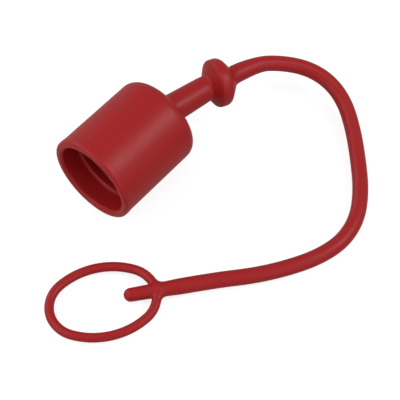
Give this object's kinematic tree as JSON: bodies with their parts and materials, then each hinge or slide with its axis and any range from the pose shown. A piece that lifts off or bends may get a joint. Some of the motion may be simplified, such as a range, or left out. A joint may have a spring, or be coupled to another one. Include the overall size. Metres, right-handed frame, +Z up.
{
  "type": "threaded protection cap",
  "caption": "Round threaded cap in soft plastic with a neck, a double-cone collar, a moulded tether and an oval retaining ring.",
  "frame": {"origin": "centre of the cap's mouth, on the axis of the bore", "axes": "+Y into the cap along the bore, +Z up; the part lies on its side on a floor that touches the lip of the mouth"},
  "size_m": [0.0978, 0.1434, 0.0346],
  "materials": {
    "soft_pvc": "satin"
  },
  "bodies": {
    "root": {"protection_cap": "soft_pvc"}
  },
  "joints": []
}
